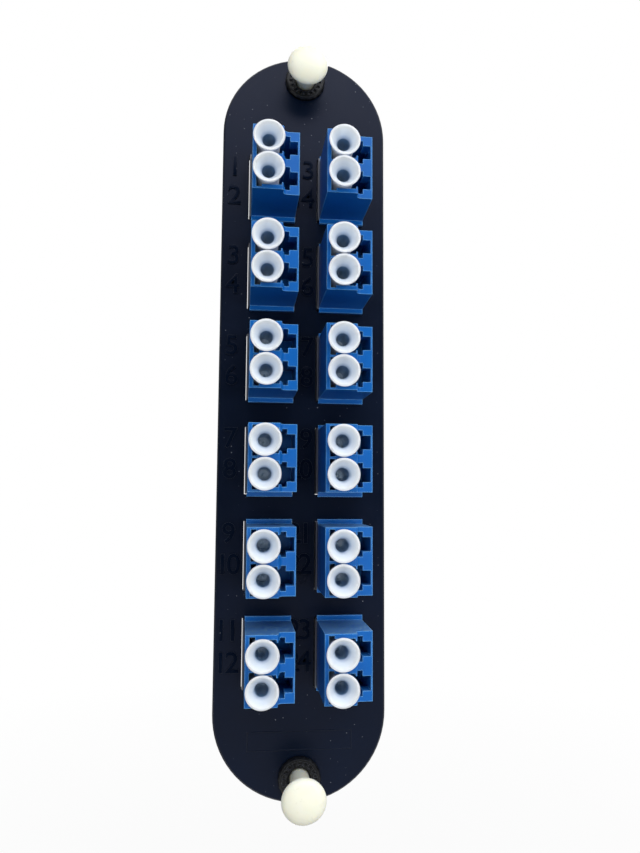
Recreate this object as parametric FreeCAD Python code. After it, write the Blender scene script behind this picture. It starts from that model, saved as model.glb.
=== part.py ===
import FreeCAD, Part
import math
import os

# Fibre adapter panel: a moulded plate with round ends carries twelve duplex adapters in two columns
# of six, with a dust cap in each of the 24 front ports and a push-pull latch at each end.
# Frame: X to the right, Z up the long side, the front faces -Y. The origin is the middle of the
# seating face behind the plate's edge, so the housing that takes the panel lies at Y = 0.
# Heights are measured from the front of the plate towards the viewer, in millimetres.

# Panel plate
PANEL_WIDTH = 34.7
PANEL_LENGTH = 155.2
WEB = 2.0  # thickness inside the seating rim
RIM_HEIGHT = 1.0  # the rim stands this far behind the web
RIM_WIDTH = 2.0
FRONT_CHAMFER = 0.4
FRONT_Y = -(WEB + RIM_HEIGHT)

# Adapter grid: places of the port axes
COLUMN_PITCH = 14.5
PORT_AXIS_X = -0.91  # middle of the two columns of port axes
ROW_PITCH = 19.3
ROW_COUNT = 6
GRID_MIDDLE_Z = -0.23  # middle of the rows and of the two latches
PORT_PITCH = 6.25  # standard duplex spacing, upper port to lower port

# Adapter body, X measured from the port axes
BODY_LEFT = -3.07
BODY_RIGHT = 6.19
BODY_HEIGHT = 12.8
PORT_FACE = 14.5  # front face around the ports
LATCH_FACE = 12.15  # front face on the latch side, set back
REAR_FACE = -14.1
STEP_LEFT = 2.6  # the S-shaped step between the two front faces
STEP_TOP_RADIUS = 0.4
STEP_FOOT_RADIUS = 1.0
FLANGE_HEIGHT = 14.76
FLANGE_THICKNESS = 0.8
MIDDLE = 0.2  # middle plane of the wall between front and rear ports
MIDDLE_WALL = 2.0

# Port outline as steps from left to right: start X, end X, half height
KEY_NOTCH = (-2.30, -1.25, 2.90)
PLUG_WELL = (-1.25, 2.65, 2.40)
RIDGES = (2.65, 3.30, 1.90)
LUG_SLOT = (3.30, 4.32, 2.34)
BEAM_SLOT = (4.32, 5.87, 1.35)
REAR_WELL = (-2.30, 4.32, 2.40)
LATCH_SHOULDER = 3.0  # thickness of the catch at the front of the beam slot

# Ferrule tubes
TUBE_RADIUS = 1.25
TUBE_BORE_RADIUS = 0.63
TUBE_LENGTH = 12.6
TUBE_PRESS = 0.01  # radial press in the middle wall

# Retaining clips
CLIP_SHEET = 0.4
CLIP_FRONT = 1.2
CLIP_REAR = -3.4
CLIP_ARM_RIGHT = 3.5
HOOK_LEFT = -0.5
HOOK_REACH = 7.5
HOOK_PLAY = 0.05
WINDOW_PLAY = 0.12

# Dust caps
CAP_RIM = 17.06
CAP_RIM_RADIUS = 3.09
CAP_LIP = 0.45
CAP_STEM_RADIUS = 2.25
CAP_STEM_END = 7.0
CAP_HOLE_RADIUS = 1.25
CAP_HOLE_TOP = 14.7
CAP_HOLE_END = 8.0

# Latches
LATCH_REACH = 72.5  # distance of each latch from the middle of the grid
HOLE_RADIUS = 3.15
BOSS_RADIUS = 4.6
GROMMET_FLANGE = 1.25
GROMMET_RADIUS = 4.35
GROMMET_FACE_RADIUS = 3.9
GROMMET_SHOULDER = 0.45  # drop of the sloping edge around the flange's face
KNURL_DEPTH = 0.12
KNURL_TEETH = 18
POCKET_RADII = (2.75, 3.5)  # ring of pockets in the flange's face
POCKET_DEPTH = 0.3
POCKET_RIB = 0.4  # width of the ribs between the pockets
GROMMET_NECK_RADIUS = 3.1
BARREL_RADIUS = 2.9
BARREL_END_Y = 5.5
BARREL_TAPER = 0.5
BARREL_BORE_RADIUS = 2.02
MOUTH_RADIUS = 2.42
MOUTH_DEPTH = 0.8
LEG_SLOT = 0.7
LEG_SLOT_START_Y = 0.6
STEM_RADIUS = 1.94
STEM_LENGTH = 12.0
KNOB_RADIUS = 4.2
KNOB_SKIRT = 1.0  # from the underside to the widest plane
KNOB_SKIRT_RADIUS = 3.5
KNOB_CROWN = 1.7  # from the widest plane to the top
KNOB_WIDEST = {"top": 6.3, "bottom": 10.8}  # one latch half out, the other fully out


def y_at(height):
    """Row Y of a height above the front of the plate."""
    return FRONT_Y - height


def prism(points, y_from, y_to):
    """Extrude a closed outline of (x, z) points along Y."""
    corners = [FreeCAD.Vector(x, y_from, z) for x, z in points + points[:1]]
    return Part.Face(Part.makePolygon(corners)).extrude(FreeCAD.Vector(0, y_to - y_from, 0))


def block(x_from, x_to, y_from, y_to, z_from, z_to):
    """Box between two corners."""
    corner = FreeCAD.Vector(x_from, min(y_from, y_to), z_from)
    return Part.makeBox(x_to - x_from, abs(y_to - y_from), z_to - z_from, corner)


def rod(radius, y_from, y_to, x=0.0, z=0.0):
    """Cylinder along Y."""
    start = FreeCAD.Vector(x, min(y_from, y_to), z)
    return Part.makeCylinder(radius, abs(y_to - y_from), start, FreeCAD.Vector(0, 1, 0))


def turned(points):
    """Revolve a closed outline of (radius, y) points about the Y axis."""
    corners = [FreeCAD.Vector(r, y, 0) for r, y in points + points[:1]]
    axis = FreeCAD.Vector(0, 1, 0)
    return Part.Face(Part.makePolygon(corners)).revolve(FreeCAD.Vector(), axis, 360)


def placed(shape, x, z):
    """Copy of a shape moved in the plane of the panel."""
    moved = shape.copy()
    moved.translate(FreeCAD.Vector(x, 0, z))
    return moved


def adapter_places():
    """Port axis X and middle Z of each adapter, down the left column and then down the right."""
    for side in (-0.5, 0.5):
        for row in range(ROW_COUNT):
            drop = (ROW_COUNT - 1) / 2 - row
            yield PORT_AXIS_X + side * COLUMN_PITCH, GRID_MIDDLE_Z + drop * ROW_PITCH


def port_places():
    """Port axis X and Z of all ports, in the order of the adapters, upper port first."""
    for x, z in adapter_places():
        for side in (0.5, -0.5):
            yield x, z + side * PORT_PITCH


def latch_places():
    """Name and Z of each latch."""
    yield "top", GRID_MIDDLE_Z + LATCH_REACH
    yield "bottom", GRID_MIDDLE_Z - LATCH_REACH


def stadium(inset, y):
    """Face with the plate's outline, moved in by inset."""
    radius = PANEL_WIDTH / 2 - inset
    reach = (PANEL_LENGTH - PANEL_WIDTH) / 2
    edges = []
    for end in (1, -1):
        side = end * radius
        first = FreeCAD.Vector(side, y, end * reach)
        crown = FreeCAD.Vector(0, y, end * (reach + radius))
        last = FreeCAD.Vector(-side, y, end * reach)
        edges.append(Part.Arc(first, crown, last).toShape())
        edges.append(Part.makeLine(last, FreeCAD.Vector(-side, y, -end * reach)))
    return Part.Face(Part.Wire(edges))


def panel_plate():
    """Plate with a seating rim, a boss at each latch, windows and latch holes."""
    plate = stadium(0, FRONT_Y).extrude(FreeCAD.Vector(0, -FRONT_Y, 0))
    front = [e for e in plate.Edges if abs(e.CenterOfMass.y - FRONT_Y) < 1e-6]
    plate = plate.makeChamfer(FRONT_CHAMFER, front)
    plate = plate.cut(stadium(RIM_WIDTH, -RIM_HEIGHT).extrude(FreeCAD.Vector(0, RIM_HEIGHT, 0)))
    for _, z in latch_places():
        plate = plate.fuse(rod(BOSS_RADIUS, -RIM_HEIGHT, 0, z=z))
    half_window = BODY_HEIGHT / 2 + CLIP_SHEET + WINDOW_PLAY
    left = BODY_LEFT - CLIP_SHEET - WINDOW_PLAY
    right = BODY_RIGHT + WINDOW_PLAY
    cuts = [rod(HOLE_RADIUS, FRONT_Y, 0, z=z) for _, z in latch_places()]
    for x, z in adapter_places():
        cuts.append(block(x + left, x + right, FRONT_Y, 0, z - half_window, z + half_window))
    return plate.cut(cuts).removeSplitter()


def body_plan():
    """Plan of an adapter body: a long block whose front steps back on the latch side in an S curve."""
    port_y = y_at(PORT_FACE)
    latch_y = y_at(LATCH_FACE)
    quarter = math.sqrt(0.5)
    riser = STEP_LEFT + STEP_TOP_RADIUS
    foot = riser + STEP_FOOT_RADIUS
    rear_left = FreeCAD.Vector(BODY_LEFT, y_at(REAR_FACE), 0)
    rear_right = FreeCAD.Vector(BODY_RIGHT, y_at(REAR_FACE), 0)
    latch_right = FreeCAD.Vector(BODY_RIGHT, latch_y, 0)
    foot_end = FreeCAD.Vector(foot, latch_y, 0)
    foot_middle = FreeCAD.Vector(foot - quarter * STEP_FOOT_RADIUS,
                                 latch_y - (1 - quarter) * STEP_FOOT_RADIUS, 0)
    foot_start = FreeCAD.Vector(riser, latch_y - STEP_FOOT_RADIUS, 0)
    top_end = FreeCAD.Vector(riser, port_y + STEP_TOP_RADIUS, 0)
    top_middle = FreeCAD.Vector(STEP_LEFT + quarter * STEP_TOP_RADIUS,
                                port_y + (1 - quarter) * STEP_TOP_RADIUS, 0)
    top_start = FreeCAD.Vector(STEP_LEFT, port_y, 0)
    port_left = FreeCAD.Vector(BODY_LEFT, port_y, 0)
    return Part.Face(Part.Wire([
        Part.makeLine(rear_left, rear_right),
        Part.makeLine(rear_right, latch_right),
        Part.makeLine(latch_right, foot_end),
        Part.Arc(foot_end, foot_middle, foot_start).toShape(),
        Part.makeLine(foot_start, top_end),
        Part.Arc(top_end, top_middle, top_start).toShape(),
        Part.makeLine(top_start, port_left),
        Part.makeLine(port_left, rear_left),
    ]))


def stepped_outline(steps):
    """Follow the steps along the upper edge from left to right and return along the lower edge."""
    upper = []
    for left, right, half in steps:
        upper += [(left, half), (right, half)]
    return upper + [(x, -z) for x, z in reversed(upper)]


def port_cavity(steps, mouth, floor, catch):
    """One port: the stepped well, and the latch pocket that opens behind the catch."""
    well = prism(stepped_outline(steps), y_at(mouth), y_at(floor))
    left, right, _ = BEAM_SLOT
    pocket_half = LUG_SLOT[2]
    return well.fuse(block(left, right, y_at(catch), y_at(floor), -pocket_half, pocket_half))


def adapter_body():
    """Duplex adapter body with two front ports, two rear ports and a flange on the panel."""
    half = BODY_HEIGHT / 2
    body = body_plan().extrude(FreeCAD.Vector(0, 0, BODY_HEIGHT))
    body.translate(FreeCAD.Vector(0, 0, -half))
    flange_half = FLANGE_HEIGHT / 2
    flange = block(BODY_LEFT, BODY_RIGHT, y_at(0), y_at(FLANGE_THICKNESS), -flange_half, flange_half)
    front_steps = [KEY_NOTCH, PLUG_WELL, RIDGES, LUG_SLOT, BEAM_SLOT]
    front_floor = MIDDLE + MIDDLE_WALL / 2
    rear_floor = MIDDLE - MIDDLE_WALL / 2
    front = port_cavity(front_steps, PORT_FACE, front_floor, LATCH_FACE - LATCH_SHOULDER)
    rear = port_cavity([REAR_WELL, BEAM_SLOT], REAR_FACE, rear_floor, REAR_FACE + LATCH_SHOULDER)
    hole = rod(TUBE_RADIUS, y_at(front_floor), y_at(rear_floor))
    cuts = []
    for side in (0.5, -0.5):
        cuts += [placed(cut, 0, side * PORT_PITCH) for cut in (front, rear, hole)]
    return body.fuse(flange).cut(cuts).removeSplitter()


def ferrule_tube():
    """Ceramic sleeve in its holder, one tube that lines up the two plugs' ferrules."""
    ends = (y_at(MIDDLE + TUBE_LENGTH / 2), y_at(MIDDLE - TUBE_LENGTH / 2))
    return rod(TUBE_RADIUS + TUBE_PRESS, *ends).cut(rod(TUBE_BORE_RADIUS, *ends))


def retaining_clip():
    """U of bent sheet around the body in the window, with a hook on each arm behind the web."""
    left = BODY_LEFT - CLIP_SHEET
    inner = BODY_HEIGHT / 2
    outer = inner + CLIP_SHEET
    catch = -WEB - HOOK_PLAY
    clip = block(left, BODY_LEFT, y_at(CLIP_FRONT), y_at(-WEB), -outer, outer)
    hook = [(outer, CLIP_REAR), (HOOK_REACH, catch), (HOOK_REACH - CLIP_SHEET, catch),
            (outer, CLIP_REAR + CLIP_SHEET)]
    corners = [FreeCAD.Vector(HOOK_LEFT, y_at(h), z) for z, h in hook + hook[:1]]
    tongue = Part.Face(Part.makePolygon(corners)).extrude(FreeCAD.Vector(CLIP_ARM_RIGHT - HOOK_LEFT, 0, 0))
    mirrored = tongue.mirror(FreeCAD.Vector(), FreeCAD.Vector(0, 0, 1))
    arms = [block(left, CLIP_ARM_RIGHT, y_at(0), y_at(CLIP_REAR), low, low + CLIP_SHEET)
            for low in (inner, -outer)]
    return clip.fuse(arms + [tongue, mirrored]).removeSplitter()


def dust_cap():
    """Trumpet plug: a stem in the port, a flared grip with a funnel mouth and a blind hole."""
    return turned([
        (0, y_at(CAP_STEM_END)),
        (CAP_STEM_RADIUS, y_at(CAP_STEM_END)),
        (CAP_STEM_RADIUS, y_at(PORT_FACE)),
        (CAP_RIM_RADIUS, y_at(CAP_RIM)),
        (CAP_RIM_RADIUS - CAP_LIP, y_at(CAP_RIM)),
        (CAP_HOLE_RADIUS, y_at(CAP_HOLE_TOP)),
        (CAP_HOLE_RADIUS, y_at(CAP_HOLE_END)),
        (0, y_at(CAP_HOLE_END)),
    ])


def face_pockets():
    """Ring of shallow pockets in the flange's face, parted by radial ribs."""
    face = y_at(GROMMET_FLANGE)
    floor = y_at(GROMMET_FLANGE - POCKET_DEPTH)
    inner, outer = POCKET_RADII
    ring = rod(outer, face, floor).cut(rod(inner, face, floor))
    ribs = []
    for tooth in range(KNURL_TEETH):
        rib = block(0, GROMMET_RADIUS, face, floor, -POCKET_RIB / 2, POCKET_RIB / 2)
        rib.rotate(FreeCAD.Vector(), FreeCAD.Vector(0, 1, 0), 360 * tooth / KNURL_TEETH)
        ribs.append(rib)
    return ring.cut(ribs)


def latch_grommet():
    """Bush with a serrated and ribbed flange in front of the plate and a split barrel behind it."""
    tips = []
    for tooth in range(2 * KNURL_TEETH):
        turn = math.pi * tooth / KNURL_TEETH
        radius = GROMMET_RADIUS - KNURL_DEPTH * (tooth % 2)
        tips.append((radius * math.cos(turn), radius * math.sin(turn)))
    slope = turned([
        (0, y_at(0)),
        (GROMMET_RADIUS, y_at(0)),
        (GROMMET_RADIUS, y_at(GROMMET_FLANGE - GROMMET_SHOULDER)),
        (GROMMET_FACE_RADIUS, y_at(GROMMET_FLANGE)),
        (0, y_at(GROMMET_FLANGE)),
    ])
    flange = prism(tips, y_at(0), y_at(GROMMET_FLANGE)).common(slope)
    barrel = turned([
        (0, y_at(0)),
        (GROMMET_NECK_RADIUS, y_at(0)),
        (GROMMET_NECK_RADIUS, 0),
        (BARREL_RADIUS, 0),
        (BARREL_RADIUS, BARREL_END_Y - BARREL_TAPER),
        (BARREL_RADIUS - BARREL_TAPER, BARREL_END_Y),
        (0, BARREL_END_Y),
    ])
    bore = rod(BARREL_BORE_RADIUS, y_at(GROMMET_FLANGE), BARREL_END_Y)
    mouth = rod(MOUTH_RADIUS, y_at(GROMMET_FLANGE), y_at(GROMMET_FLANGE - MOUTH_DEPTH))
    slot = block(-LEG_SLOT / 2, LEG_SLOT / 2, LEG_SLOT_START_Y, BARREL_END_Y, -BARREL_RADIUS, BARREL_RADIUS)
    return flange.fuse(barrel).cut([bore, mouth, slot, face_pockets()]).removeSplitter()


def latch_plunger(widest):
    """Stem that spreads the barrel's legs, with a domed knob to push and pull."""
    under = y_at(widest - KNOB_SKIRT)
    top = y_at(widest + KNOB_CROWN)
    tip = under + STEM_LENGTH
    blank = turned([
        (0, top),
        (KNOB_RADIUS, top),
        (KNOB_RADIUS, y_at(widest)),
        (KNOB_SKIRT_RADIUS, under),
        (STEM_RADIUS, under),
        (STEM_RADIUS, tip - BARREL_TAPER),
        (STEM_RADIUS - BARREL_TAPER, tip),
        (0, tip),
    ])
    dome = (KNOB_RADIUS ** 2 + KNOB_CROWN ** 2) / (2 * KNOB_CROWN)
    crown = Part.makeSphere(dome, FreeCAD.Vector(0, top + dome, 0))
    stem_room = rod(KNOB_RADIUS, y_at(widest), tip)
    return blank.common(crown.fuse(stem_room)).removeSplitter()


def all_parts():
    """Every node's name with its shape in place."""
    body = adapter_body()
    cap = dust_cap()
    places = list(adapter_places())
    ports = list(port_places())
    parts = {"panel_plate": panel_plate()}
    for number, (x, z) in enumerate(places, 1):
        parts[f"adapter_body_{number:02d}"] = placed(body, x, z)
    parts["ferrule_tubes"] = Part.makeCompound([placed(ferrule_tube(), x, z) for x, z in ports])
    parts["retaining_clips"] = Part.makeCompound([placed(retaining_clip(), x, z) for x, z in places])
    for number, (x, z) in enumerate(ports, 1):
        parts[f"dust_cap_{number:02d}"] = placed(cap, x, z)
    for end, z in latch_places():
        parts[f"latch_grommet_{end}"] = placed(latch_grommet(), 0, z)
        parts[f"latch_plunger_{end}"] = placed(latch_plunger(KNOB_WIDEST[end]), 0, z)
    return parts


os.makedirs("parts", exist_ok=True)
for name, shape in all_parts().items():
    if not shape.isValid():
        raise ValueError(f"{name} is not a valid shape")
    shape.exportStep(f"parts/{name}.step")
    print(name, len(shape.Solids), "solids", round(shape.Volume, 2), "mm3")
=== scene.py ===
import math

import bmesh
import bpy
import numpy as np
from mathutils import Matrix, Vector


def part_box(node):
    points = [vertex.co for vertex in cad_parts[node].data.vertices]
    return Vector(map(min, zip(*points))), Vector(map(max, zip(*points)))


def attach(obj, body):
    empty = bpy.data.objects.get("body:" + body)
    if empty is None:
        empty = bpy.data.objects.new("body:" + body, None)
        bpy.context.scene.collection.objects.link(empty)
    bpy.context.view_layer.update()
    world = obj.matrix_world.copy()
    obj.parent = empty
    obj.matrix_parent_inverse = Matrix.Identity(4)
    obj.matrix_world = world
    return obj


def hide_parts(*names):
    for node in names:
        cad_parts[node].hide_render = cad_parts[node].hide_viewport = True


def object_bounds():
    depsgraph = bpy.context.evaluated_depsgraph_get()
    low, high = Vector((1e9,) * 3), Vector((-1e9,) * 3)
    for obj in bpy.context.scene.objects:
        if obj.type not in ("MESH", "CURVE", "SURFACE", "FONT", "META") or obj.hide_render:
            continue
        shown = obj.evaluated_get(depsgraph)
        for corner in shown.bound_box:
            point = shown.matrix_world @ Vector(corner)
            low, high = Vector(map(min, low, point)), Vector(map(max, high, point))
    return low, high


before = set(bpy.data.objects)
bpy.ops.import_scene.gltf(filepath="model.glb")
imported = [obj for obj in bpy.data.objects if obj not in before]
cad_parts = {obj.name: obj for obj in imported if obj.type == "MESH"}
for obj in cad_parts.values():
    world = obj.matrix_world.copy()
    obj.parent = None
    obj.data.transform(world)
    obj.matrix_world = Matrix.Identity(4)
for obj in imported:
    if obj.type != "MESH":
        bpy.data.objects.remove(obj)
cad_low, cad_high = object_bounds()

# Fibre adapter panel: a black moulded plate with twelve blue duplex adapters, a milky dust cap in each
# of the 24 ports, and an ivory push-pull latch at each end. Everything is in metres in the frame of the
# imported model: X to the right, Z up the long side, the front faces -Y. Names ending in _MM are lengths
# in millimetres, and names ending in _STEPS are numbers of points or steps along a curve.

MM = 0.001
PORT_COUNT = 24
ADAPTER_COUNT = 12
LATCH_ENDS = ("top", "bottom")
PLATE_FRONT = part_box("panel_plate")[0].y
GOLDEN_TURN = math.pi * (3 - math.sqrt(5))  # spreads the caps' small differences evenly

# Meshes
SEAM_GAP = 1e-7
CAD_SEAM_GAP = 2e-6
FLAT_DEGREES = 1
SHARP_DEGREES = 35
ARC_STEPS = 5

# Rounded edges of the moulded and bent pieces
EDGE_DEGREES = 25
PLATE_EDGE_MM = 0.14
BODY_EDGE_MM = 0.15
CLIP_EDGE_MM = 0.09

# Width of the painted highlight line along the edges
BLUE_EDGE_LIGHT_MM = 0.25
NYLON_EDGE_LIGHT_MM = 0.2
ABS_EDGE_LIGHT_MM = 0.12

# Dust cap, depths measured from the rim towards the port, fillets from the stem's end to the nub
CAP_LIP_MM = 0.45
CAP_STEM_RADIUS_MM = 2.25
CAP_FLARE_DEPTH_MM = 2.56
CAP_HOLE_RADIUS_MM = 1.25
CAP_HOLE_DRAFT_MM = 0.1
CAP_HOLE_TOP_MM = 2.36
CAP_FLOOR_MM = 9.06
CAP_NUB_RADIUS_MM = 0.3
CAP_NUB_HEIGHT_MM = 0.9
CAP_FILLETS_MM = (0.3, 1.6, 0.08, 0.15, 0.5, 0.25, 0.05, 0.15)
CAP_SQUEEZE_MM = 0.03  # how far the soft rim is out of round
CAP_RIM_WAVE_MM = 0.06  # and out of flat
CAP_STEPS = 72
ON_RIM_MM = 1e-6  # points closer to the rim's plane lie on the lip
# The depth below the rim sets the caps' painted shade in the funnel and hole
HOLE_DEPTH = "hole_depth"

# Ferrule tube
TUBE_BORE_RADIUS_MM = 0.63
TUBE_CHAMFER_MM = 0.2
TUBE_STEPS = 40

# Latch grommet, fillets from the bore over the mouth and the flange to the barrel
GROMMET_SHOULDER_MM = 0.45
GROMMET_FACE_RADIUS_MM = 3.9
GROMMET_NECK_RADIUS_MM = 3.1
GROMMET_MOUTH_RADIUS_MM = 2.42
GROMMET_MOUTH_DEPTH_MM = 0.8
GROMMET_BORE_RADIUS_MM = 2.02
GROMMET_FILLETS_MM = (0.1, 0.1, 0.12, 0, 0, 0, 0, 0.12, 0.15, 0.08, 0.1, 0.05, 0.05, 0)
GROMMET_SHARP_DEGREES = 30
BARREL_RADIUS_MM = 2.9
BARREL_TAPER_MM = 0.5
LEG_START_MM = 0.6  # behind the seating face
LEG_ROOT_MM = 0.1  # how far a leg reaches into the neck
LEG_SLOT_MM = 0.7
LEG_STEPS = 33
KNURL_TEETH = 18
KNURL_DEPTH_MM = 0.12
KNURL_SHARPNESS = 0.97  # 1 is a wave with sharp tips
KNURL_TOOTH_STEPS = 16
POCKET_INNER_MM = 2.75
POCKET_OUTER_MM = 3.5
POCKET_DEPTH_MM = 0.3
POCKET_RIB_MM = 0.4
POCKET_EDGE_MM = 0.06
TOUCH_MM = 0.01  # points closer than this lie on the same face

# Latch plunger, fillets from the skirt to the tip
KNOB_CROWN_MM = 1.7
KNOB_FULLNESS = 0.95  # 1 is an ellipse, and less is fuller
KNOB_SKIRT_MM = 1.0
KNOB_SKIRT_RADIUS_MM = 3.5
STEM_RADIUS_MM = 1.94
STEM_TAPER_MM = 0.5
PLUNGER_FILLETS_MM = (0.3, 0.25, 0.2, 0.1)
CROWN_STEPS = 20
PLUNGER_STEPS = 96

# Raised port numbers and the bare insert below them
NUMBER_HEIGHT_MM = 4.0
NUMBER_RAISE_MM = 0.25
NUMBER_EDGE_MM = 0.05
NUMBER_BOLDER_MM = 0.1  # added to each side of the strokes
NUMBER_LEFT_MM = 6.6  # from the port axis to the middle of its number
NUMBER_UP_MM = 1.45
NUMBER_SPACING = 0.78
NUMBER_CURVE_STEPS = 5
INSERT_WIDTH_MM = 20.8
INSERT_HEIGHT_MM = 3.6
INSERT_MIDDLE_MM = (0.0, -65.57)
INSERT_RAISE_MM = 0.08
INSERT_FOOT_MM = 0.02
INSERT_RIDGE_MM = 0.3
INSERT_CREST = 0.3  # share of the ridge's width that is flat on top
INSERT_SHARP_DEGREES = 20

# Camera, matched to the photograph: 640 x 853, focal length 704.1 pixels
CAMERA_PLACE = Vector((-0.0124945, PLATE_FRONT - 0.145018, -0.0162338))
CAMERA_FORWARD = Vector((0.1108, 0.9895, 0.0924))
CAMERA_UP = Vector((-0.0165, -0.0911, 0.9957))
IMAGE_HEIGHT_PX = 853
FOCAL_PX = 704.09
SENSOR_MM = 36.0
NEAREST_MM = 10.0

# Floor
FLOOR_DROP_MM = 40.0  # the housing holds the panel clear of the floor
FLOOR_REACH_MM = 600.0
FLOOR_FADE_MM = (40.0, 250.0)
FLOOR_WHITE = 0.94  # below the panel, where the rest is left to its shadow

WHITE = (1.0, 1.0, 1.0, 1.0)


# Shape tools

def axis_of(node):
    """X and Z of the middle of a round node."""
    low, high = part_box(node)
    return np.array([(low.x + high.x) / 2, (low.z + high.z) / 2])


def rounded_path(corners, radii):
    """Polyline through the corners in which every inner corner is an arc: the circle of the given radius
    that touches both sides of the corner, walked at even angles. A radius of 0 keeps the corner."""
    corners = np.asarray(corners, float)
    parts = [corners[:1]]
    share = np.linspace(0, 1, ARC_STEPS + 1)[:, None]
    for before, corner, after, radius in zip(corners, corners[1:], corners[2:], radii):
        if radius == 0:
            parts.append(corner[None])
            continue
        back = (before - corner) / np.linalg.norm(before - corner)
        ahead = (after - corner) / np.linalg.norm(after - corner)
        half = math.acos(np.clip(back @ ahead, -1, 1)) / 2
        reach = radius / math.tan(half)
        bisector = (back + ahead) / np.linalg.norm(back + ahead)
        centre = corner + bisector * radius / math.sin(half)
        first = corner + reach * back - centre
        last = corner + reach * ahead - centre
        turn = math.pi - 2 * half
        arc = np.sin((1 - share) * turn) * first + np.sin(share * turn) * last
        parts.append(centre + arc / math.sin(turn))
    parts.append(corners[-1:])
    return np.vstack(parts)


def full_turn(steps):
    """Even angles of one turn."""
    return np.linspace(0, 2 * np.pi, steps, endpoint=False)


def turned(profile, axis, steps):
    """Surface of revolution as rings: ring i is the circle of radius profile[i, 0] at y = profile[i, 1]
    about the axis along Y through the given X and Z."""
    turn = full_turn(steps)
    radius = profile[:, :1]
    x = axis[0] + radius * np.cos(turn)
    z = axis[1] + radius * np.sin(turn)
    return np.stack([x, np.broadcast_to(profile[:, 1:], x.shape), z], axis=-1)


def drawn_in(rings, axis, share):
    """Rings in which the distance of each point from the axis along Y is multiplied by the point's share."""
    middle = np.array([axis[0], 0, axis[1]])
    across = np.array([1, 0, 1])
    return middle + (rings - middle) * (share[..., None] * across + (1 - across))


def welded(mesh, sharp_degrees=SHARP_DEGREES):
    """Merge the doubles at seams and poles, turn the faces outwards and smooth all but the sharp edges."""
    cells = bmesh.new()
    cells.from_mesh(mesh)
    bmesh.ops.remove_doubles(cells, verts=cells.verts, dist=SEAM_GAP)
    bmesh.ops.recalc_face_normals(cells, faces=cells.faces)
    cells.to_mesh(mesh)
    cells.free()
    mesh.shade_smooth()
    mesh.set_sharp_from_angle(angle=math.radians(sharp_degrees))
    return mesh


def skin(name, grids, sharp_degrees=SHARP_DEGREES, depth=None):
    """Mesh over stacks of closed rings: every cell between two rings and two neighbouring points is a quad.
    A depth for each ring of a single stack is kept on its points for the material."""
    points = []
    quads = []
    start = 0
    for grid in grids:
        rings, steps = grid.shape[:2]
        index = start + np.arange(rings * steps).reshape(rings, steps)
        beside = np.roll(index, -1, axis=1)
        cells = np.stack([index[:-1], beside[:-1], beside[1:], index[1:]], axis=-1)
        quads.append(cells.reshape(-1, 4))
        points.append(grid.reshape(-1, 3))
        start += rings * steps
    mesh = bpy.data.meshes.new(name)
    mesh.from_pydata(np.vstack(points).tolist(), [], np.vstack(quads).tolist())
    if depth is not None:
        kept = mesh.attributes.new(HOLE_DEPTH, "FLOAT", "POINT")
        kept.data.foreach_set("value", np.repeat(depth, grids[0].shape[1]))
    return welded(mesh, sharp_degrees)


def merged_copy(name, node):
    """Copy of a CAD node's mesh with its loose triangles merged and flat neighbours joined into one face."""
    mesh = bpy.data.meshes.new(name)
    cells = bmesh.new()
    cells.from_mesh(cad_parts[node].data)
    bmesh.ops.remove_doubles(cells, verts=cells.verts, dist=CAD_SEAM_GAP)
    bmesh.ops.dissolve_limit(cells, angle_limit=math.radians(FLAT_DEGREES), verts=cells.verts,
                             edges=cells.edges)
    cells.to_mesh(mesh)
    cells.free()
    for layer in ("custom_normal", "sharp_face", "sharp_edge"):
        if layer in mesh.attributes:
            mesh.attributes.remove(mesh.attributes[layer])
    mesh.materials.clear()
    mesh.shade_smooth()
    return mesh


def new_object(name, data):
    """Object with the data, linked to the scene."""
    made = bpy.data.objects.new(name, data)
    bpy.context.scene.collection.objects.link(made)
    return made


def piece(mesh, material, body, slot, *nodes):
    """Object at the origin that rides on a body, with its material and the nodes it stands for hidden. The
    slot is not used.
    """
    made = new_object(mesh.name, mesh)
    mesh.materials.append(material)
    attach(made, body)
    if nodes:
        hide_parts(*nodes)
    return made


def round_edges(made, width_mm, segments=2):
    """Give a moulded piece's edges a small radius, so that they catch a line of light."""
    bevel = made.modifiers.new("rounded edges", "BEVEL")
    bevel.width = width_mm * MM
    bevel.segments = segments
    bevel.limit_method = "ANGLE"
    bevel.angle_limit = math.radians(EDGE_DEGREES)
    bevel.use_clamp_overlap = True
    bevel.loop_slide = False
    bevel.harden_normals = True


# Pieces

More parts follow.
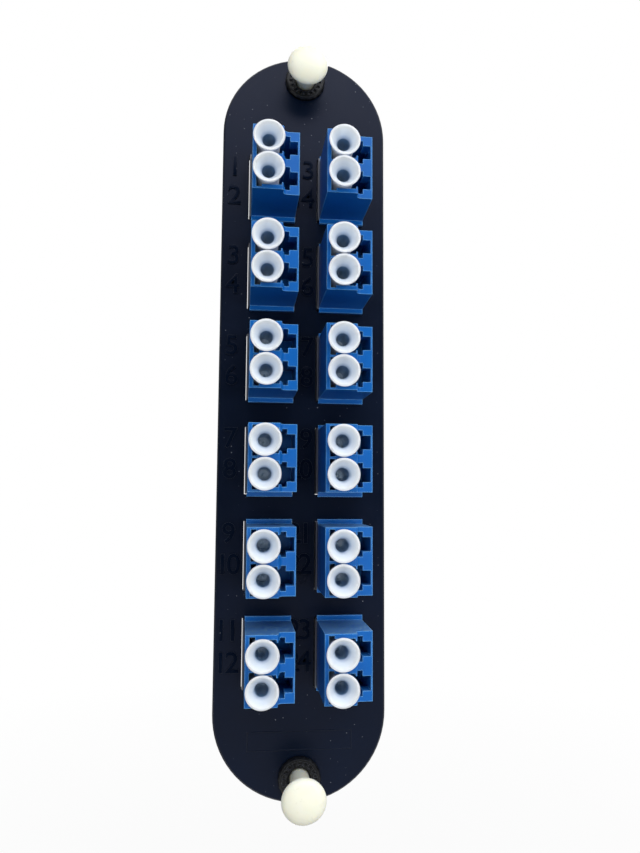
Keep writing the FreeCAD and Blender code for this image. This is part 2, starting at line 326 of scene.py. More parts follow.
def dust_cap(name, node, order):
    """Trumpet plug: a profile carried round the port axis. From the stem's end the profile runs up the stem,
    out along the flare, over a rounded lip, down the funnel and the hole, and ends on a small nub. The soft
    rim is pressed slightly out of round: its radius loses a cos(2 turn) wave and its height gets a sine.
    Points after the lip keep their depth below the rim as a share of the hole, and all others keep 0."""
    low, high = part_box(node)
    axis = axis_of(node)
    rim = low.y / MM
    rim_radius = (high.x - low.x) / 2 / MM
    stem_end = high.y / MM
    floor = rim + CAP_FLOOR_MM
    corners = [
        (0, stem_end),
        (CAP_STEM_RADIUS_MM, stem_end),
        (CAP_STEM_RADIUS_MM, rim + CAP_FLARE_DEPTH_MM),
        (rim_radius, rim),
        (rim_radius - CAP_LIP_MM, rim),
        (CAP_HOLE_RADIUS_MM, rim + CAP_HOLE_TOP_MM),
        (CAP_HOLE_RADIUS_MM - CAP_HOLE_DRAFT_MM, floor),
        (CAP_NUB_RADIUS_MM, floor),
        (CAP_NUB_RADIUS_MM, floor - CAP_NUB_HEIGHT_MM),
        (0, floor - CAP_NUB_HEIGHT_MM),
    ]
    profile = rounded_path(corners, CAP_FILLETS_MM)
    below_rim = profile[:, 1] - rim
    turn = full_turn(CAP_STEPS) + order * GOLDEN_TURN
    near_rim = np.clip(1 - below_rim[:, None] / CAP_FLARE_DEPTH_MM, 0, 1) ** 2
    squeeze = CAP_SQUEEZE_MM / rim_radius * near_rim * (0.5 + 0.5 * np.cos(2 * turn))
    rings = drawn_in(turned(profile * MM, axis, CAP_STEPS), axis, 1 - squeeze)
    rings[..., 1] += CAP_RIM_WAVE_MM * MM * near_rim * (0.5 + 0.5 * np.sin(turn + order))
    lip_end = np.flatnonzero(below_rim < ON_RIM_MM)[-1]
    depth = np.where(np.arange(len(profile)) > lip_end, below_rim / CAP_FLOOR_MM, 0)
    return skin(name, [rings], depth=depth)


def ferrule_tubes(name):
    """24 tubes: a rectangle with cut corners between bore and outside, carried round every port axis."""
    low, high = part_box("ferrule_tubes")
    axes = [axis_of(f"dust_cap_{number:02d}") for number in range(1, PORT_COUNT + 1)]
    outside = (min(axis[0] for axis in axes) - low.x) / MM
    front = low.y / MM
    rear = high.y / MM
    bore = TUBE_BORE_RADIUS_MM
    cut = TUBE_CHAMFER_MM
    profile = np.array([
        (bore, front + cut),
        (bore + cut, front),
        (outside - cut / 2, front),
        (outside, front + cut / 2),
        (outside, rear - cut / 2),
        (outside - cut / 2, rear),
        (bore + cut, rear),
        (bore, rear - cut),
        (bore, front + cut),
    ])
    return skin(name, [turned(profile * MM, axis, TUBE_STEPS) for axis in axes])


def grommet(name, node):
    """Bush in three shells. The flange and neck are a profile carried round the axis, whose outside radius
    follows a triangle wave with rounded tips. Its face sinks into a pocket wherever the point lies between
    the two radii of the ring and further from the nearest radial line than half a rib. Each leg of the
    split barrel is a half ring, cut back by the slot, carried along the axis with a tapered end."""
    low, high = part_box(node)
    axis = axis_of(node)
    outside = (high.z - low.z) / 2 / MM
    front = low.y / MM
    plate = PLATE_FRONT / MM
    mouth = GROMMET_MOUTH_RADIUS_MM
    bore = GROMMET_BORE_RADIUS_MM
    neck = GROMMET_NECK_RADIUS_MM
    corners = [
        (bore, LEG_START_MM),
        (bore, front + GROMMET_MOUTH_DEPTH_MM),
        (mouth, front + GROMMET_MOUTH_DEPTH_MM),
        (mouth, front),
        (POCKET_INNER_MM, front),
        (POCKET_INNER_MM + POCKET_EDGE_MM, front),
        (POCKET_OUTER_MM - POCKET_EDGE_MM, front),
        (POCKET_OUTER_MM, front),
        (GROMMET_FACE_RADIUS_MM, front),
        (outside, front + GROMMET_SHOULDER_MM),
        (outside, plate),
        (neck, plate),
        (neck, 0.0),
        (BARREL_RADIUS_MM, 0.0),
        (BARREL_RADIUS_MM, LEG_START_MM),
        (bore, LEG_START_MM),
    ]
    profile = rounded_path(corners, GROMMET_FILLETS_MM)
    radius = profile[:, :1]
    steps = KNURL_TOOTH_STEPS * KNURL_TEETH
    turn = full_turn(steps)
    wave = np.arccos(KNURL_SHARPNESS * np.cos(KNURL_TEETH * turn)) / np.pi
    on_wall = np.clip((radius - GROMMET_FACE_RADIUS_MM) / (outside - GROMMET_FACE_RADIUS_MM), 0, 1)
    share = 1 - KNURL_DEPTH_MM / outside * on_wall * wave
    rings = drawn_in(turned(profile * MM, axis, steps), axis, share)
    from_rib = radius * np.abs(np.arcsin(np.sin(KNURL_TEETH * turn / 2))) * 2 / KNURL_TEETH
    between = np.clip((from_rib - POCKET_RIB_MM / 2) / POCKET_EDGE_MM, 0, 1)
    on_face = np.abs(profile[:, 1:] - front) < TOUCH_MM
    in_ring = on_face & (radius > POCKET_INNER_MM + TOUCH_MM) & (radius < POCKET_OUTER_MM - TOUCH_MM)
    rings[..., 1] += POCKET_DEPTH_MM * MM * in_ring * between
    legs = [barrel_leg(axis, high.y / MM, side) for side in (1, -1)]
    return skin(name, [rings] + legs, GROMMET_SHARP_DEGREES)


def barrel_leg(axis, end, side):
    """One leg: the closed outline of a half ring on one side of the slot, carried from the neck to the end,
    where its outer arc draws in by the taper. Both ends are closed by cells that meet halfway between the
    two arcs."""
    along = np.array([LEG_START_MM - LEG_ROOT_MM, end - BARREL_TAPER_MM, end])[:, None]
    outer = np.array([BARREL_RADIUS_MM, BARREL_RADIUS_MM, BARREL_RADIUS_MM - BARREL_TAPER_MM])[:, None]
    bore = GROMMET_BORE_RADIUS_MM
    edge = math.asin(LEG_SLOT_MM / 2 / bore)
    turn = np.linspace(edge, math.pi - edge, LEG_STEPS)
    arc_shape = (len(along), LEG_STEPS)
    radius = np.hstack([np.broadcast_to(outer, arc_shape), np.full(arc_shape, bore)])
    angle = np.hstack([turn, turn[::-1]])
    x = axis[0] + side * radius * np.sin(angle) * MM
    z = axis[1] + radius * np.cos(angle) * MM
    rings = np.stack([x, np.broadcast_to(along * MM, x.shape), z], axis=-1)
    seam = (rings + rings[:, ::-1]) / 2
    return np.concatenate([seam[:1], rings, seam[-1:]])


def plunger(name, node):
    """Knob and stem: a profile carried round the axis. The crown is a quarter of a rounded ellipse, then the
    skirt draws in to the underside, and the stem runs back to a tapered tip."""
    low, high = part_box(node)
    knob = (high.x - low.x) / 2 / MM
    tip = high.y / MM
    widest = low.y / MM + KNOB_CROWN_MM
    under = widest + KNOB_SKIRT_MM
    angle = np.linspace(0, np.pi / 2, CROWN_STEPS)
    crown = np.stack([knob * np.sin(angle) ** KNOB_FULLNESS, widest - KNOB_CROWN_MM * np.cos(angle)], axis=1)
    corners = [
        (knob, widest),
        (KNOB_SKIRT_RADIUS_MM, under),
        (STEM_RADIUS_MM, under),
        (STEM_RADIUS_MM, tip - STEM_TAPER_MM),
        (STEM_RADIUS_MM - STEM_TAPER_MM, tip),
        (0, tip),
    ]
    profile = np.vstack([crown[:-1], rounded_path(corners, PLUNGER_FILLETS_MM)])
    return skin(name, [turned(profile * MM, axis_of(node), PLUNGER_STEPS)])


def number_mesh(text):
    """Points and faces of one raised number, its middle at the origin: X along the text, Y up, Z towards
    the viewer, scaled to the height of the figures."""
    curve = bpy.data.curves.new("figures", "FONT")
    curve.body = text
    curve.align_x = "CENTER"
    curve.space_character = NUMBER_SPACING
    curve.resolution_u = NUMBER_CURVE_STEPS
    holder = new_object("figures", curve)
    bpy.context.view_layer.update()
    flat = bpy.data.meshes.new_from_object(holder)
    unit = np.ptp([corner.co.y for corner in flat.vertices]) / NUMBER_HEIGHT_MM
    bpy.data.meshes.remove(flat)
    curve.extrude = (NUMBER_RAISE_MM / 2 - NUMBER_EDGE_MM) * unit
    curve.bevel_depth = NUMBER_EDGE_MM * unit
    curve.bevel_resolution = 1
    curve.offset = (NUMBER_BOLDER_MM - NUMBER_EDGE_MM) * unit
    bpy.context.view_layer.update()
    solid = bpy.data.meshes.new_from_object(holder)
    points = np.empty(len(solid.vertices) * 3)
    solid.vertices.foreach_get("co", points)
    faces = [list(face.vertices) for face in solid.polygons]
    bpy.data.objects.remove(holder)
    bpy.data.curves.remove(curve)
    bpy.data.meshes.remove(solid)
    points = points.reshape(-1, 3) / unit
    points[:, 1] -= (points[:, 1].min() + points[:, 1].max()) / 2
    return points, faces


def port_numbers(name):
    """The numbers 1 to 24 as raised figures, each to the left of its port and lying on the plate."""
    all_points = []
    all_faces = []
    start = 0
    for number in range(1, PORT_COUNT + 1):
        points, faces = number_mesh(str(number))
        x, z = axis_of(f"dust_cap_{number:02d}") / MM
        right = x - NUMBER_LEFT_MM + points[:, 0]
        out = PLATE_FRONT / MM - NUMBER_RAISE_MM / 2 - points[:, 2]
        up = z + NUMBER_UP_MM + points[:, 1]
        all_points.append(np.stack([right, out, up], axis=1) * MM)
        all_faces += [[corner + start for corner in face] for face in faces]
        start += len(points)
    mesh = bpy.data.meshes.new(name)
    mesh.from_pydata(np.vstack(all_points).tolist(), [], all_faces)
    return welded(mesh)


def insert_line(name):
    """Fine ridge around the bare insert of the mould: the profile of a low roof with a flat crest, carried
    round the four corners of a rectangle, its foot sunk into the plate."""
    half = np.array([INSERT_WIDTH_MM, INSERT_HEIGHT_MM]) / 2
    signs = np.array([(1, 1), (-1, 1), (-1, -1), (1, -1)])
    spread = np.array([1, INSERT_CREST, -INSERT_CREST, -1, 1]) * INSERT_RIDGE_MM / 2
    foot = -INSERT_FOOT_MM
    height = np.array([foot, INSERT_RAISE_MM, INSERT_RAISE_MM, foot, foot])
    flat = signs[None] * (half + spread[:, None, None]) + np.array(INSERT_MIDDLE_MM)
    out = np.broadcast_to((PLATE_FRONT / MM - height)[:, None], flat.shape[:2])
    rings = np.stack([flat[..., 0], out, flat[..., 1]], axis=-1) * MM
    return skin(name, [rings], INSERT_SHARP_DEGREES)


# Materials

def linear(colour):
    """Linear RGBA of an sRGB hex colour."""
    value = np.array([int(colour[at:at + 2], 16) for at in (1, 3, 5)]) / 255
    light = np.where(value <= 0.04045, value / 12.92, ((value + 0.055) / 1.055) ** 2.4)
    return (*light.tolist(), 1.0)


def per_metre(size_mm):
    """Texture scale at which a pattern repeats about every size_mm."""
    return 1 / (size_mm * MM)


def give(tree, node, inputs):
    """Give a node's inputs their values or links."""
    for name, value in inputs.items():
        if isinstance(value, bpy.types.NodeSocket):
            tree.links.new(value, node.inputs[name])
        else:
            node.inputs[name].default_value = value


def add(tree, kind, inputs=None, **settings):
    """Add one node with its settings and its inputs."""
    made = tree.nodes.new(kind)
    for name, value in settings.items():
        setattr(made, name, value)
    give(tree, made, inputs or {})
    return made


def empty_tree(owner):
    """Node tree of a material or a world with nothing in it."""
    owner.use_nodes = True
    owner.node_tree.nodes.clear()
    return owner.node_tree


def new_material(name):
    """Material with a bare Principled shader, its node tree, the shader and the texture coordinates."""
    material = bpy.data.materials.new(name)
    tree = empty_tree(material)
    shader = add(tree, "ShaderNodeBsdfPrincipled")
    add(tree, "ShaderNodeOutputMaterial", {"Surface": shader.outputs["BSDF"]})
    place = add(tree, "ShaderNodeTexCoord")
    return material, tree, shader, place


def set_stops(ramp, stops):
    """Put positions and colours on a ramp, from 0 to 1."""
    elements = ramp.color_ramp.elements
    for position, _ in stops[1:-1]:
        elements.new(position)
    for element, (position, tint) in zip(elements, stops):
        element.position = position
        element.color = linear(tint)


def worn_edges(tree, width_mm, start, end, most=1.0):
    """Share of painted edge highlight: along an edge a normal that is rounded over width_mm leaves the true
    normal, and the painted highlight grows from 0 to most while the cosine between the two falls from start
    to end."""
    rounded = add(tree, "ShaderNodeBevel", {"Radius": width_mm * MM}, samples=4)
    surface = add(tree, "ShaderNodeNewGeometry")
    agree = add(tree, "ShaderNodeVectorMath", {0: rounded.outputs["Normal"], 1: surface.outputs["Normal"]},
                operation="DOT_PRODUCT")
    wear = add(tree, "ShaderNodeMapRange", {"Value": agree.outputs["Value"], "From Min": start,
                                            "From Max": end, "To Min": 0.0, "To Max": most})
    return wear.outputs["Result"]


def moulded_black_abs(name, gloss_level, edge_light):
    # Black ABS: from the eroded mould face a satin skin that greys where it mirrors the room, from the
    # polished figures a deeper black. Both carry faint handling marks and a few pale grains of dust on the
    # flat faces, and a painted grey highlight along their edges.
    material, tree, shader, place = new_material(name)
    marks = add(tree, "ShaderNodeTexNoise", {"Vector": place.outputs["Object"], "Scale": per_metre(14),
                                             "Detail": 5.0, "Roughness": 0.6})
    black = add(tree, "ShaderNodeMix", {"Factor": marks.outputs["Fac"], "A": linear("#030a17"),
                                        "B": linear("#071428")}, data_type="RGBA")
    front = add(tree, "ShaderNodeMapping", {"Vector": place.outputs["Object"],
                                            "Rotation": (-math.pi / 2, 0.0, 0.0)})
    cells = add(tree, "ShaderNodeTexVoronoi", {"Vector": front.outputs["Vector"],
                                               "Scale": per_metre(1.6)}, voronoi_dimensions="2D")
    chance = add(tree, "ShaderNodeSeparateColor", {"Color": cells.outputs["Color"]})
    size = add(tree, "ShaderNodeMapRange", {"Value": chance.outputs["Red"], "From Min": 0.76,
                                            "From Max": 1.0, "To Min": 0.0, "To Max": 0.07})
    grain = add(tree, "ShaderNodeMath", {0: cells.outputs["Distance"], 1: size.outputs["Result"]},
                operation="LESS_THAN")
    facing = add(tree, "ShaderNodeSeparateXYZ", {"Vector": place.outputs["Normal"]})
    level = add(tree, "ShaderNodeMath", {0: facing.outputs["Y"]}, operation="ABSOLUTE")
    on_flat = add(tree, "ShaderNodeMapRange", {"Value": level.outputs["Value"], "From Min": 0.7,
                                               "From Max": 0.9})
    lying = add(tree, "ShaderNodeMath", {0: grain.outputs["Value"], 1: on_flat.outputs["Result"]},
                operation="MULTIPLY")
    dusty = add(tree, "ShaderNodeMapRange", {"Value": marks.outputs["Fac"], "From Min": 0.45,
                                             "From Max": 0.6, "To Min": 0.0, "To Max": 0.6})
    dust = add(tree, "ShaderNodeMath", {0: lying.outputs["Value"], 1: dusty.outputs["Result"]},
               operation="MULTIPLY")
    # Painted highlight: the black turns grey along the edges, where they would catch light.
    edge_lit = add(tree, "ShaderNodeMix", {"Factor": worn_edges(tree, ABS_EDGE_LIGHT_MM, 0.99, 0.85, edge_light),
                                         "A": black.outputs["Result"], "B": linear("#5a5f69")},
                 data_type="RGBA")
    colour = add(tree, "ShaderNodeMix", {"Factor": dust.outputs["Value"], "A": edge_lit.outputs["Result"],
                                         "B": linear("#a7abb3")}, data_type="RGBA")
    gloss = add(tree, "ShaderNodeMapRange", {"Value": marks.outputs["Fac"], "From Min": 0.3,
                                             "From Max": 0.7, "To Min": 0.27, "To Max": 0.38})
    # The eroded grain is about 0.05 mm, too fine to show, so it is drawn at 0.3 mm.
    texture = add(tree, "ShaderNodeTexNoise", {"Vector": place.outputs["Object"],
                                               "Scale": per_metre(0.3), "Detail": 2.0})
    relief = add(tree, "ShaderNodeBump", {"Height": texture.outputs["Fac"], "Strength": 0.12,
                                          "Distance": 0.05 * MM})
    give(tree, shader, {
        "Base Color": colour.outputs["Result"],
        "Roughness": gloss.outputs["Result"],
        "Normal": relief.outputs["Normal"],
        "IOR": 1.52,
        "Specular IOR Level": gloss_level,
        "Specular Tint": linear("#e4e6ff"),
    })
    return material


def moulded_blue_pbt():
    # Blue PBT: an even blue with a soft gloss and flow marks of the moulding, and a painted highlight that
    # turns it paler along the edges. Fine grey dust lies in short streaks on the faces that look up, but not
    # in the ports.
    material, tree, shader, place = new_material("moulded blue PBT")
    flow = add(tree, "ShaderNodeTexNoise", {"Vector": place.outputs["Object"], "Scale": per_metre(3),
                                            "Detail": 4.0, "Roughness": 0.55})
    blue = add(tree, "ShaderNodeMix", {"Factor": flow.outputs["Fac"], "A": linear("#0c59a5"),
                                       "B": linear("#0e63b4")}, data_type="RGBA")
    # Painted highlight: the blue turns pale along the edges, where they would catch light.
    edge_lit = add(tree, "ShaderNodeMix", {"Factor": worn_edges(tree, BLUE_EDGE_LIGHT_MM, 0.995, 0.9, 0.8),
                                         "A": blue.outputs["Result"], "B": linear("#79bbec")},
                 data_type="RGBA")
    facing = add(tree, "ShaderNodeSeparateXYZ", {"Vector": place.outputs["Normal"]})
    upward = add(tree, "ShaderNodeMapRange", {"Value": facing.outputs["Z"], "From Min": 0.6,
                                              "From Max": 0.95})
    around = add(tree, "ShaderNodeAmbientOcclusion", {"Distance": 4 * MM}, samples=4)
    open_air = add(tree, "ShaderNodeMapRange", {"Value": around.outputs["AO"], "From Min": 0.55,
                                                "From Max": 0.8})
    settled = add(tree, "ShaderNodeMath", {0: upward.outputs["Result"], 1: open_air.outputs["Result"]},
                  operation="MULTIPLY")
    streaks = add(tree, "ShaderNodeMapping", {"Vector": place.outputs["Object"], "Scale": (1.0, 0.5, 1.0)})
    lint = add(tree, "ShaderNodeTexNoise", {"Vector": streaks.outputs["Vector"], "Scale": per_metre(0.5),
                                            "Detail": 3.0, "Roughness": 0.7})
    patches = add(tree, "ShaderNodeMapRange", {"Value": lint.outputs["Fac"], "From Min": 0.44,
                                               "From Max": 0.6, "To Min": 0.1, "To Max": 0.68})
    dust = add(tree, "ShaderNodeMath", {0: settled.outputs["Value"], 1: patches.outputs["Result"]},
               operation="MULTIPLY")
    colour = add(tree, "ShaderNodeMix", {"Factor": dust.outputs["Value"], "A": edge_lit.outputs["Result"],
                                         "B": linear("#7fa4b8")}, data_type="RGBA")
    gloss = add(tree, "ShaderNodeMapRange", {"Value": dust.outputs["Value"], "To Min": 0.28,
                                             "To Max": 0.85})
    relief = add(tree, "ShaderNodeBump", {"Height": flow.outputs["Fac"], "Strength": 0.1,
                                          "Distance": 0.05 * MM})
    give(tree, shader, {
        "Base Color": colour.outputs["Result"],
        "Roughness": gloss.outputs["Result"],
        "Normal": relief.outputs["Normal"],
        "IOR": 1.53,
        "Specular IOR Level": 0.2,
    })
    return material


def milky_polyethylene():
    # Soft low-density polyethylene: a milky white that lets light a little way in, waxy rather than glossy.
    # The funnel and the hole get a painted shade, greyer and bluer with depth below the rim, darkest just
    # inside the hole and a little lighter towards its floor.
    material, tree, shader, place = new_material("milky polyethylene")
    clouds = add(tree, "ShaderNodeTexNoise", {"Vector": place.outputs["Object"],
                                              "Scale": per_metre(2.2), "Detail": 3.0})
    # Painted shade: the cap's colour is looked up by its depth below the rim.
    depth = add(tree, "ShaderNodeAttribute", attribute_name=HOLE_DEPTH)
    milk_and_painted_shade = add(tree, "ShaderNodeValToRGB", {"Fac": depth.outputs["Fac"]})
    set_stops(milk_and_painted_shade, (
        (0.0, "#f4faff"), (0.04, "#f2f9ff"), (0.09, "#e9f2fd"), (0.17, "#dfe8f3"), (0.25, "#b0c0d4"),
        (0.27, "#6a8aac"), (0.40, "#7593b4"), (0.70, "#98b3cc"), (1.0, "#bfd2e4"),
    ))
    mottle = add(tree, "ShaderNodeMapRange", {"Value": clouds.outputs["Fac"], "From Min": 0.3,
                                              "From Max": 0.7, "To Min": 0.93, "To Max": 1.0})
    colour = add(tree, "ShaderNodeVectorMath", {0: milk_and_painted_shade.outputs["Color"], 1: mottle.outputs["Result"]},
                 operation="MULTIPLY")
    gloss = add(tree, "ShaderNodeMapRange", {"Value": clouds.outputs["Fac"], "To Min": 0.36,
                                             "To Max": 0.5})
    give(tree, shader, {
        "Base Color": colour.outputs["Vector"],
        "Roughness": gloss.outputs["Result"],
        "IOR": 1.51,
        "Subsurface Weight": 0.9,
        "Subsurface Radius": (1.0, 1.0, 1.0),
        "Subsurface Scale": 1.5 * MM,
    })
    return material


def ground_ceramic():
    # Zirconia ground to size: dense warm white with the rings of the grinding along the tube. They are about
    # 0.02 mm apart, too fine to show, so they are drawn at 0.4 mm.
    material, tree, shader, place = new_material("ground zirconia")
    rings = add(tree, "ShaderNodeTexWave", {"Vector": place.outputs["Object"], "Scale": per_metre(0.4),
                                            "Distortion": 1.5, "Detail": 2.0}, bands_direction="Y")
    colour = add(tree, "ShaderNodeMix", {"Factor": rings.outputs["Fac"], "A": linear("#dcdad2"),
                                         "B": linear("#ecebe6")}, data_type="RGBA")
    relief = add(tree, "ShaderNodeBump", {"Height": rings.outputs["Fac"], "Strength": 0.1,
                                          "Distance": 0.02 * MM})
    give(tree, shader, {
        "Base Color": colour.outputs["Result"],
        "Normal": relief.outputs["Normal"],
        "Roughness": 0.22,
        "IOR": 2.1,
    })
    return material


def rolled_spring_steel():
    # Stainless strip: a dull grey sheen with the rolling grain running along Z. The grain is about 0.02 mm
    # wide, too fine to show, so it is drawn at 0.25 mm.
    material, tree, shader, place = new_material("rolled spring steel")
    stretch = add(tree, "ShaderNodeMapping", {"Vector": place.outputs["Object"], "Scale": (1.0, 1.0, 0.06)})
    grain = add(tree, "ShaderNodeTexNoise", {"Vector": stretch.outputs["Vector"],
                                             "Scale": per_metre(0.25), "Detail": 4.0})
    colour = add(tree, "ShaderNodeMix", {"Factor": grain.outputs["Fac"], "A": linear("#5a5c62"),
                                         "B": linear("#7b7d83")}, data_type="RGBA")
    gloss = add(tree, "ShaderNodeMapRange", {"Value": grain.outputs["Fac"], "To Min": 0.45,
                                             "To Max": 0.6})
    give(tree, shader, {
        "Base Color": colour.outputs["Result"],
        "Roughness": gloss.outputs["Result"],
        "Metallic": 1.0,
        "Specular Tint": linear("#9a9ca2"),
    })
    return material


def moulded_black_nylon():
    # Black nylon: a neutral black with an uneven gloss, and a patchy grey painted highlight along the edges
    # of the rim, mouth and ribs.
    material, tree, shader, place = new_material("moulded black nylon")
    flecks = add(tree, "ShaderNodeTexNoise", {"Vector": place.outputs["Object"], "Scale": per_metre(0.5),
                                              "Detail": 5.0, "Roughness": 0.7})
    patchy = add(tree, "ShaderNodeMapRange", {"Value": flecks.outputs["Fac"], "From Min": 0.35,
                                              "From Max": 0.65})
    # Painted highlight: a patchy grey along the edges, where they would catch light.
    edge_light = add(tree, "ShaderNodeMath", {0: worn_edges(tree, NYLON_EDGE_LIGHT_MM, 0.99, 0.88),
                                        1: patchy.outputs["Result"]}, operation="MULTIPLY")
    colour = add(tree, "ShaderNodeMix", {"Factor": edge_light.outputs["Value"], "A": linear("#0a0b0e"),
                                         "B": linear("#63656d")}, data_type="RGBA")
    gloss = add(tree, "ShaderNodeMapRange", {"Value": flecks.outputs["Fac"], "To Min": 0.28,
                                             "To Max": 0.5})
    give(tree, shader, {
        "Base Color": colour.outputs["Result"],
        "Roughness": gloss.outputs["Result"],
        "IOR": 1.53,
        "Specular IOR Level": 0.25,
    })
    return material


def moulded_ivory_acetal():
    # Ivory acetal: a smooth waxy cream in two close shades, with a few brown scuffs from fingers.
    material, tree, shader, place = new_material("moulded ivory acetal")
    clouds = add(tree, "ShaderNodeTexNoise", {"Vector": place.outputs["Object"],
                                              "Scale": per_metre(3.5), "Detail": 4.0})
    cream = add(tree, "ShaderNodeMix", {"Factor": clouds.outputs["Fac"], "A": linear("#f3f1da"),
                                        "B": linear("#f8f7e6")}, data_type="RGBA")
    scuffs = add(tree, "ShaderNodeTexNoise", {"Vector": place.outputs["Object"], "Scale": per_metre(1.1),
                                              "Detail": 6.0, "Roughness": 0.8})
    soiled = add(tree, "ShaderNodeMapRange", {"Value": scuffs.outputs["Fac"], "From Min": 0.6,
                                              "From Max": 0.78, "To Min": 0.0, "To Max": 0.35})
    colour = add(tree, "ShaderNodeMix", {"Factor": soiled.outputs["Result"], "A": cream.outputs["Result"],
                                         "B": linear("#9a8a66")}, data_type="RGBA")
    gloss = add(tree, "ShaderNodeMapRange", {"Value": clouds.outputs["Fac"], "To Min": 0.28,
                                             "To Max": 0.42})
    give(tree, shader, {
        "Base Color": colour.outputs["Result"],
        "Roughness": gloss.outputs["Result"],
        "IOR": 1.48,
        "Subsurface Weight": 0.5,
        "Subsurface Radius": (1.0, 0.9, 0.7),
        "Subsurface Scale": 1.2 * MM,
    })
    return material


# Stage

def pale_floor():
    """Square floor below the panel, white to the camera with the panel's shadow left in it, and fading into
    the white behind it."""
    level = cad_low.z - FLOOR_DROP_MM * MM
    corners = np.array([(-1, -1), (1, -1), (1, 1), (-1, 1)]) * FLOOR_REACH_MM * MM
    mesh = bpy.data.meshes.new("floor")
    mesh.from_pydata([(x, y, level) for x, y in corners.tolist()], [], [(0, 1, 2, 3)])
    material = bpy.data.materials.new("pale floor")
    mesh.materials.append(material)
    tree = empty_tree(material)
    place = add(tree, "ShaderNodeTexCoord")
    away = add(tree, "ShaderNodeVectorMath", {0: place.outputs["Object"], 1: (1.0, 1.0, 0.0)},
               operation="MULTIPLY")
    distance = add(tree, "ShaderNodeVectorMath", {0: away.outputs["Vector"]}, operation="LENGTH")
    fade_start, fade_end = FLOOR_FADE_MM
    white = add(tree, "ShaderNodeMapRange", {"Value": distance.outputs["Value"], "From Min": fade_start * MM,
                                             "From Max": fade_end * MM, "To Min": FLOOR_WHITE,
                                             "To Max": 1.0})
    path = add(tree, "ShaderNodeLightPath")
    direct = add(tree, "ShaderNodeMath", {0: path.outputs["Is Camera Ray"],
                                          1: path.outputs["Is Glossy Ray"]}, operation="MAXIMUM")
    seen = add(tree, "ShaderNodeMath", {0: direct.outputs["Value"],
                                        1: path.outputs["Is Transmission Ray"]}, operation="MAXIMUM")
    share = add(tree, "ShaderNodeMath", {0: seen.outputs["Value"], 1: white.outputs["Result"]},
                operation="MULTIPLY")
    pale = add(tree, "ShaderNodeBsdfDiffuse", {"Color": linear("#8e8e8c")})
    glow = add(tree, "ShaderNodeEmission", {"Color": WHITE, "Strength": 1.0})
    both = add(tree, "ShaderNodeMixShader", {0: share.outputs["Value"], 1: pale.outputs["BSDF"],
                                             2: glow.outputs["Emission"]})
    add(tree, "ShaderNodeOutputMaterial", {"Surface": both.outputs["Shader"]})
    new_object("floor", mesh)


def softbox(name, place, width, height, level, mirrored=True):
    """Area lamp aimed at the origin that lights a surface square to it as brightly as a white of the given
    level. A lamp that isn't mirrored lights the front without showing in its gloss."""
    lamp = bpy.data.lights.new(name, "AREA")
    lamp.shape = "RECTANGLE"
    lamp.size = width
    lamp.size_y = height
    way = -Vector(place)
    lamp.energy = level * math.pi ** 2 * way.length_squared
    holder = new_object(name, lamp)
    holder.location = place
    holder.rotation_euler = way.to_track_quat("-Z", "Y").to_euler()
    holder.visible_glossy = mirrored


def studio_world():
    """White behind the panel and for the camera everywhere. In front of the panel the room is dim at eye
    level, where the camera stands, lighter above and below it, and darker on the left."""
    world = bpy.data.worlds.new("studio")
    bpy.context.scene.world = world
    tree = empty_tree(world)
    place = add(tree, "ShaderNodeTexCoord")
    way = add(tree, "ShaderNodeSeparateXYZ", {"Vector": place.outputs["Generated"]})
    height = add(tree, "ShaderNodeMapRange", {"Value": way.outputs["Z"], "From Min": -1.0, "From Max": 1.0})
    room = add(tree, "ShaderNodeValToRGB", {"Fac": height.outputs["Result"]})
    set_stops(room, (
        (0.0, "#33363c"), (0.30, "#3a3e46"), (0.42, "#24272d"), (0.50, "#12151a"), (0.62, "#1a1e25"),
        (0.78, "#ccd6e8"), (1.0, "#e6eefb"),
    ))
    dimmer = add(tree, "ShaderNodeMapRange", {"Value": way.outputs["X"], "From Min": -0.1, "From Max": 0.2,
                                              "To Min": 0.34, "To Max": 1.15})
    dimmed = add(tree, "ShaderNodeVectorMath", {0: room.outputs["Color"], 1: dimmer.outputs["Result"]},
                 operation="MULTIPLY")
    behind = add(tree, "ShaderNodeMapRange", {"Value": way.outputs["Y"], "From Min": -0.1,
                                              "From Max": 0.15})
    path = add(tree, "ShaderNodeLightPath")
    mirrored = add(tree, "ShaderNodeMath", {0: path.outputs["Is Glossy Ray"],
                                            1: behind.outputs["Result"]}, operation="MULTIPLY")
    direct = add(tree, "ShaderNodeMath", {0: path.outputs["Is Camera Ray"],
                                          1: path.outputs["Is Transmission Ray"]}, operation="MAXIMUM")
    seen = add(tree, "ShaderNodeMath", {0: direct.outputs["Value"], 1: mirrored.outputs["Value"]},
               operation="MAXIMUM")
    soft = add(tree, "ShaderNodeMath", {0: behind.outputs["Result"], 1: 0.1}, operation="MULTIPLY")
    white = add(tree, "ShaderNodeMath", {0: seen.outputs["Value"], 1: soft.outputs["Value"]},
                operation="MAXIMUM")
    colour = add(tree, "ShaderNodeMix", {"Factor": white.outputs["Value"], "A": dimmed.outputs["Vector"],
                                         "B": WHITE}, data_type="RGBA")
    light = add(tree, "ShaderNodeBackground", {"Color": colour.outputs["Result"], "Strength": 1.0})
    add(tree, "ShaderNodeOutputWorld", {"Surface": light.outputs["Background"]})


def photo_camera():
    """Camera at the photograph's place, with its focal length worked out for the long side of the sensor."""
    lens = bpy.data.cameras.new("camera")
    lens.sensor_width = SENSOR_MM
    lens.lens = FOCAL_PX / IMAGE_HEIGHT_PX * SENSOR_MM
    lens.clip_start = NEAREST_MM * MM
    right = CAMERA_FORWARD.cross(CAMERA_UP).normalized()
    up = right.cross(CAMERA_FORWARD).normalized()
    turn = Matrix((right, up, -CAMERA_FORWARD.normalized())).transposed()
    camera = new_object("camera", lens)
    camera.matrix_world = Matrix.Translation(CAMERA_PLACE) @ turn.to_4x4()
    bpy.context.scene.camera = camera


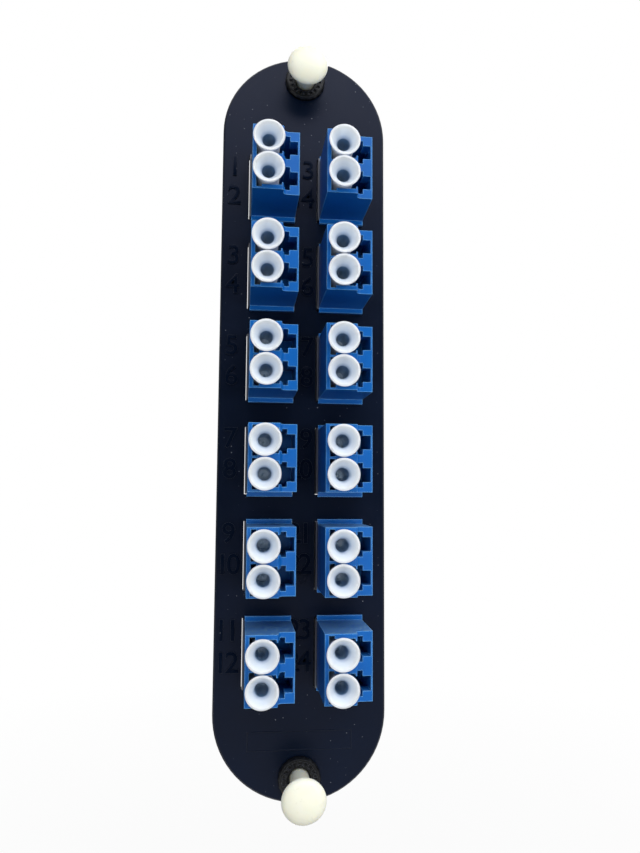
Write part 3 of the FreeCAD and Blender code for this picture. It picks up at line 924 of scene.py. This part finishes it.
# The panel, piece by piece

eroded_abs = moulded_black_abs("eroded black ABS", gloss_level=0.17, edge_light=0.15)
polished_abs = moulded_black_abs("polished black ABS", gloss_level=0.05, edge_light=0.5)
blue_pbt = moulded_blue_pbt()
milky = milky_polyethylene()
ceramic = ground_ceramic()
steel = rolled_spring_steel()
black_nylon = moulded_black_nylon()
ivory = moulded_ivory_acetal()

plate = piece(merged_copy("black_plate", "panel_plate"), eroded_abs, "panel", "panel_black", "panel_plate")
round_edges(plate, PLATE_EDGE_MM, segments=3)
piece(port_numbers("port_numbers"), polished_abs, "panel", "panel_black")
piece(insert_line("insert_line"), eroded_abs, "panel", "panel_black")

for number in range(1, ADAPTER_COUNT + 1):
    node = f"adapter_body_{number:02d}"
    body = piece(merged_copy(f"blue_adapter_{number:02d}", node), blue_pbt, "panel", "adapter_blue", node)
    round_edges(body, BODY_EDGE_MM)

piece(ferrule_tubes("ceramic_tubes"), ceramic, "panel", "sleeve_ceramic", "ferrule_tubes")
clips = piece(merged_copy("steel_clips", "retaining_clips"), steel, "panel", "clip_steel", "retaining_clips")
round_edges(clips, CLIP_EDGE_MM)

for number in range(1, PORT_COUNT + 1):
    node = f"dust_cap_{number:02d}"
    piece(dust_cap(f"milky_cap_{number:02d}", node, number), milky, node, "cap_translucent", node)

for end in LATCH_ENDS:
    node = f"latch_grommet_{end}"
    piece(grommet(f"{end}_grommet", node), black_nylon, "panel", "latch_black", node)
    node = f"latch_plunger_{end}"
    piece(plunger(f"{end}_plunger", node), ivory, node, "knob_ivory", node)

pale_floor()
softbox("key light", place=(0.18, -1.0, 1.0), width=2.2, height=0.8, level=0.83)
softbox("right fill", place=(0.55, -0.6, 0.1), width=0.4, height=0.5, level=0.1)
softbox("front fill", place=(0.06, -0.8, -0.05), width=0.8, height=0.12, level=0.41, mirrored=False)
softbox("rear light", place=(0.3, 0.9, 0.5), width=0.8, height=0.6, level=0.6)
studio_world()
photo_camera()
bpy.context.scene.view_settings.view_transform = "Standard"
